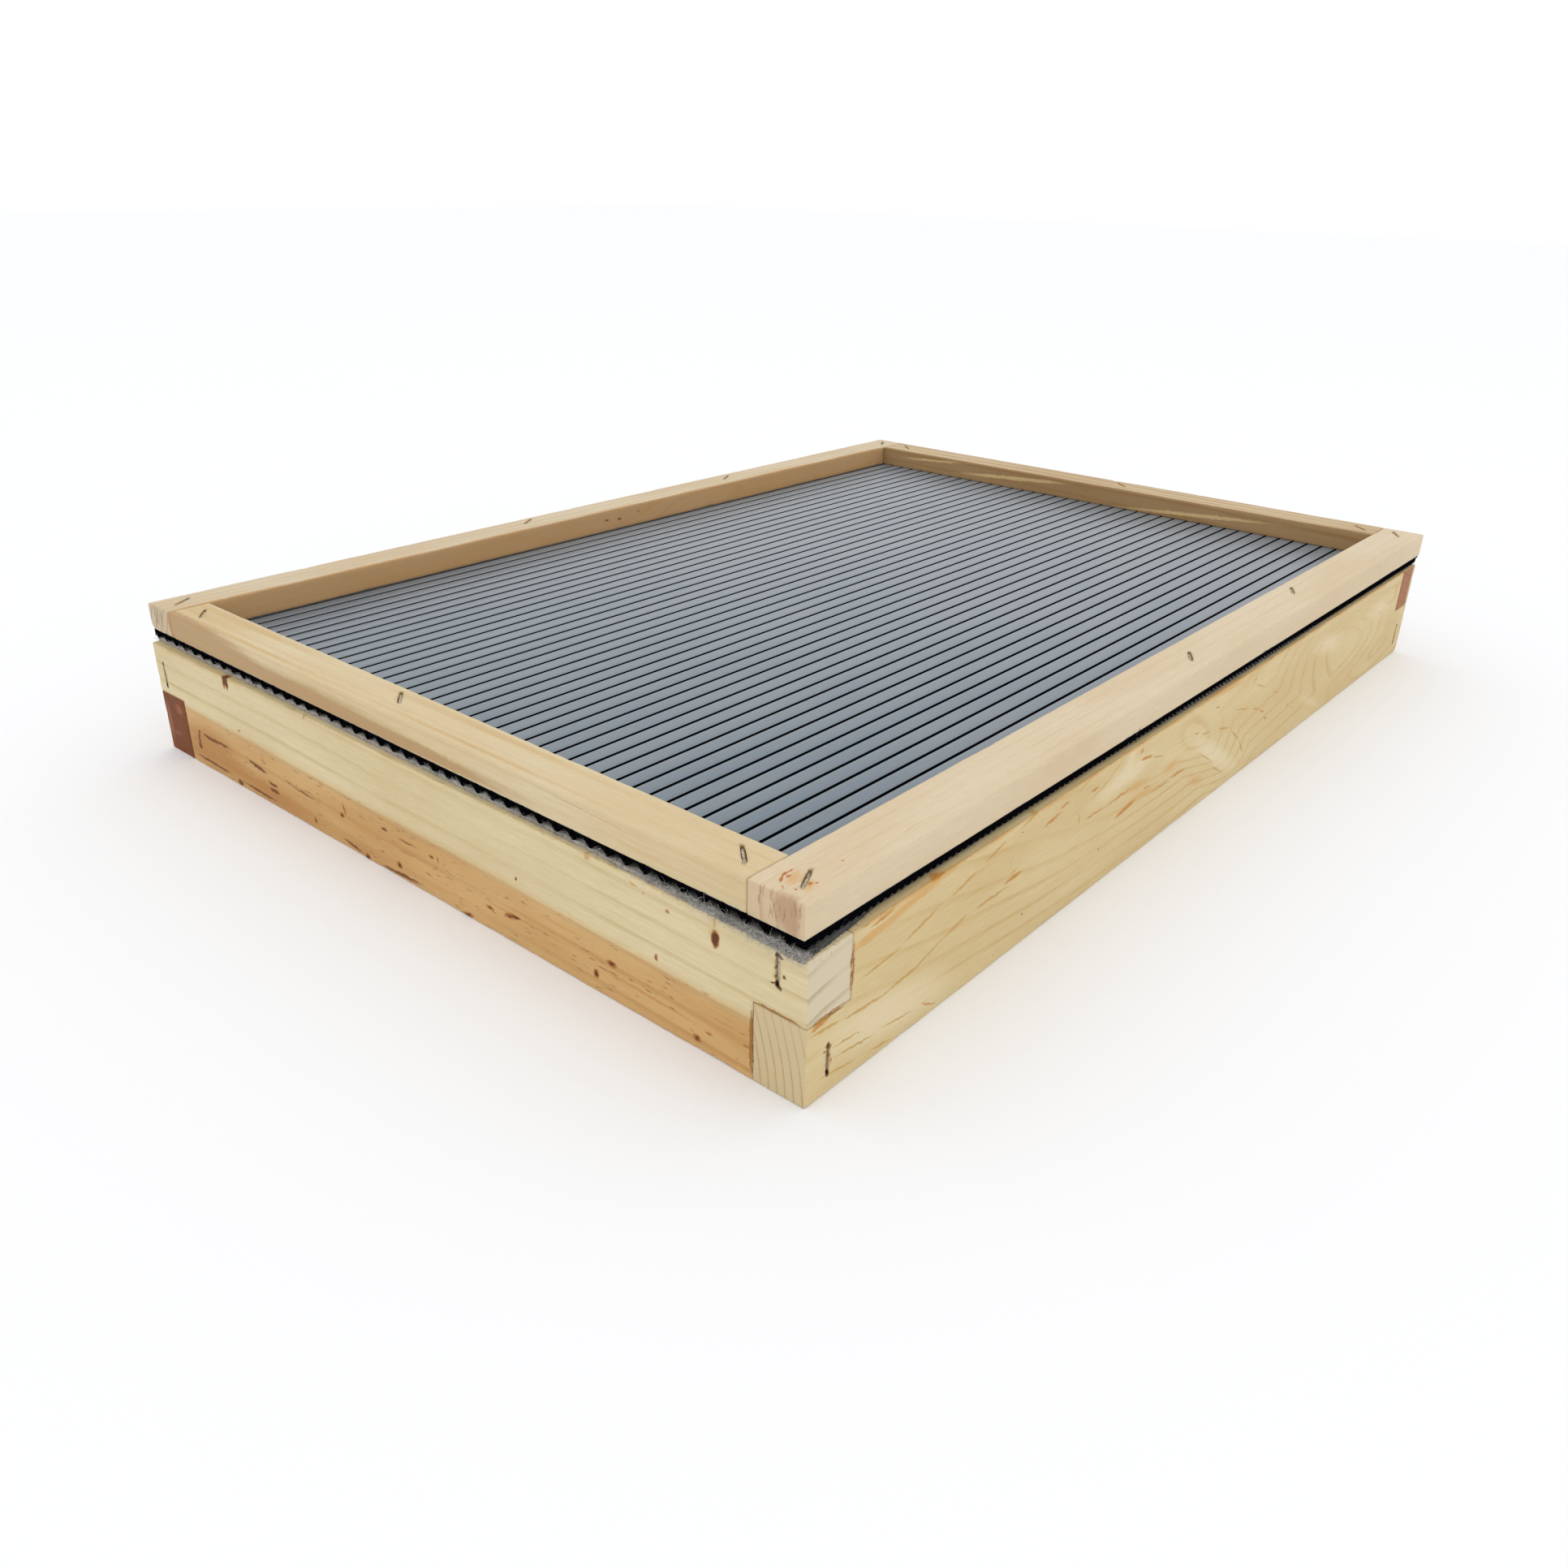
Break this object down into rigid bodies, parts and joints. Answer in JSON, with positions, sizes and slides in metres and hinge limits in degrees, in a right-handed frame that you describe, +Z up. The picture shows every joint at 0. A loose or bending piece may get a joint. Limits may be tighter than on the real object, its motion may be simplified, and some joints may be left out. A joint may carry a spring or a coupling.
{
  "type": "ribbed vent board for a beehive",
  "caption": "Shallow lapped pine rim carrying a fleece mat and a black ribbed plastic sheet, held down by stapled pine battens, for an eight-frame beehive.",
  "frame": {"origin": "middle of the footprint, on the surface the board stands on", "axes": "+X along the long side, +Y across the board to the rear, +Z up through the battens"},
  "size_m": [0.507, 0.358, 0.064],
  "materials": {
    "rail_pine": "sawn bare pine, part pale sapwood and part orange heartwood",
    "batten_pine": "planed bare pine",
    "sheet_plastic": "satin dark grey plastic",
    "fleece_felt": "pale grey needled fleece",
    "staple_wire": "galvanised wire"
  },
  "bodies": {
    "root": {"front_rail": "rail_pine", "rear_rail": "rail_pine", "left_rail": "rail_pine", "right_rail": "rail_pine", "fleece_mat": "fleece_felt", "ribbed_sheet": "sheet_plastic", "front_batten": "batten_pine", "rear_batten": "batten_pine", "left_batten": "batten_pine", "right_batten": "batten_pine", "front_batten_staples": "staple_wire", "rear_batten_staples": "staple_wire", "left_batten_staples": "staple_wire", "right_batten_staples": "staple_wire", "front_left_corner_staples": "staple_wire", "front_right_corner_staples": "staple_wire", "rear_left_corner_staples": "staple_wire", "rear_right_corner_staples": "staple_wire"}
  },
  "joints": []
}
